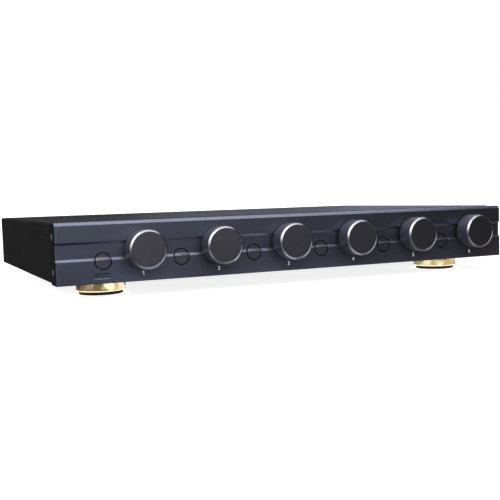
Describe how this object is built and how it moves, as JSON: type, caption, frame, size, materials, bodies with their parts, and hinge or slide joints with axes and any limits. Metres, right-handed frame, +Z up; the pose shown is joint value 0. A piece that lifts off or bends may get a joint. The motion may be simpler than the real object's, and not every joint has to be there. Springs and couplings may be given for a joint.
{
  "type": "speaker selector switch",
  "caption": "Low wide audio case that switches one amplifier to several speaker zones, each with a round volume knob and a flush round push-button, on round feet.",
  "frame": {"origin": "on the surface the feet stand on, in the middle of the overall box", "axes": "+X to the right seen from the front, +Y to the rear, +Z up"},
  "size_m": [0.4318, 0.3162, 0.0611],
  "materials": {
    "panel": "blue-black anodised, fine satin brushing",
    "button": "blue-black anodised, fine satin brushing",
    "knob": "black anodised, turned side, bright cut bevel",
    "case_paint": "black satin paint",
    "case_screw": "black zinc",
    "black_screw": "black zinc",
    "bright_screw": "nickel plated",
    "zinc": "zinc plated",
    "gold": "polished gold plating",
    "rubber": "matte",
    "label": "blank, smooth",
    "switch_plastic": "moulded",
    "plunger_plastic": "moulded, natural",
    "terminal_plastic": "moulded black phenolic",
    "board": "green lacquer",
    "lead": "grey flat cable",
    "transformer": "laminated steel and copper winding"
  },
  "bodies": {
    "case": {"bottom_tray": "case_paint", "case_screws": "case_screw", "control_plate": "zinc", "ear_bracket_left": "zinc", "ear_bracket_right": "zinc", "end_cap_left": "panel", "end_cap_right": "panel", "end_cap_screws": "black_screw", "foot_pads": "rubber", "foot_screws": "bright_screw", "foot_shell_front_left": "gold", "foot_shell_front_right": "gold", "foot_shell_rear_left": "gold", "foot_shell_rear_right": "gold", "front_panel": "panel", "label_plate": "label", "push_switches": "switch_plastic", "rear_panel": "case_paint", "shaft_nuts": "bright_screw", "switch_board": "board", "terminal_screws": "bright_screw", "terminal_strips": "terminal_plastic", "top_cover": "case_paint", "transformer_pair_1": "transformer", "transformer_pair_2": "transformer", "transformer_pair_3": "transformer", "transformer_pair_4": "transformer", "transformer_pair_5": "transformer", "transformer_pair_6": "transformer", "volume_switch_1": "switch_plastic", "volume_switch_2": "switch_plastic", "volume_switch_3": "switch_plastic", "volume_switch_4": "switch_plastic", "volume_switch_5": "switch_plastic", "volume_switch_6": "switch_plastic", "zone_leads": "lead"},
    "volume_knob_1": {"knob_1": "knob", "shaft_1": "bright_screw"},
    "zone_button_1": {"button_1": "button", "plunger_1": "plunger_plastic"},
    "volume_knob_2": {"knob_2": "knob", "shaft_2": "bright_screw"},
    "zone_button_2": {"button_2": "button", "plunger_2": "plunger_plastic"},
    "volume_knob_3": {"knob_3": "knob", "shaft_3": "bright_screw"},
    "zone_button_3": {"button_3": "button", "plunger_3": "plunger_plastic"},
    "volume_knob_4": {"knob_4": "knob", "shaft_4": "bright_screw"},
    "zone_button_4": {"button_4": "button", "plunger_4": "plunger_plastic"},
    "volume_knob_5": {"knob_5": "knob", "shaft_5": "bright_screw"},
    "zone_button_5": {"button_5": "button", "plunger_5": "plunger_plastic"},
    "volume_knob_6": {"knob_6": "knob", "shaft_6": "bright_screw"},
    "zone_button_6": {"button_6": "button", "plunger_6": "plunger_plastic"}
  },
  "joints": [
    {"name": "volume_1_turn", "type": "hinge", "parent": "case", "child": "volume_knob_1", "pos_m": [-0.14602, -0.14075, 0.0379], "axis": [0, 1, 0], "range_deg": [0, 330]},
    {"name": "volume_2_turn", "type": "hinge", "parent": "case", "child": "volume_knob_2", "pos_m": [-0.08113, -0.14075, 0.0379], "axis": [0, 1, 0], "range_deg": [0, 330]},
    {"name": "volume_3_turn", "type": "hinge", "parent": "case", "child": "volume_knob_3", "pos_m": [-0.01622, -0.14075, 0.0379], "axis": [0, 1, 0], "range_deg": [0, 330]},
    {"name": "volume_4_turn", "type": "hinge", "parent": "case", "child": "volume_knob_4", "pos_m": [0.04868, -0.14075, 0.0379], "axis": [0, 1, 0], "range_deg": [0, 330]},
    {"name": "volume_5_turn", "type": "hinge", "parent": "case", "child": "volume_knob_5", "pos_m": [0.11357, -0.14075, 0.0379], "axis": [0, 1, 0], "range_deg": [0, 330]},
    {"name": "volume_6_turn", "type": "hinge", "parent": "case", "child": "volume_knob_6", "pos_m": [0.17847, -0.14075, 0.0379], "axis": [0, 1, 0], "range_deg": [0, 330]},
    {"name": "button_1_press", "type": "slide", "parent": "case", "child": "zone_button_1", "axis": [0, 1, 0], "range_m": [0, 0.003], "stiffness_N_per_m": 300, "springref_m": -0.002},
    {"name": "button_2_press", "type": "slide", "parent": "case", "child": "zone_button_2", "axis": [0, 1, 0], "range_m": [0, 0.003], "stiffness_N_per_m": 300, "springref_m": -0.002},
    {"name": "button_3_press", "type": "slide", "parent": "case", "child": "zone_button_3", "axis": [0, 1, 0], "range_m": [0, 0.003], "stiffness_N_per_m": 300, "springref_m": -0.002},
    {"name": "button_4_press", "type": "slide", "parent": "case", "child": "zone_button_4", "axis": [0, 1, 0], "range_m": [0, 0.003], "stiffness_N_per_m": 300, "springref_m": -0.002},
    {"name": "button_5_press", "type": "slide", "parent": "case", "child": "zone_button_5", "axis": [0, 1, 0], "range_m": [0, 0.003], "stiffness_N_per_m": 300, "springref_m": -0.002},
    {"name": "button_6_press", "type": "slide", "parent": "case", "child": "zone_button_6", "axis": [0, 1, 0], "range_m": [0, 0.003], "stiffness_N_per_m": 300, "springref_m": -0.002}
  ]
}
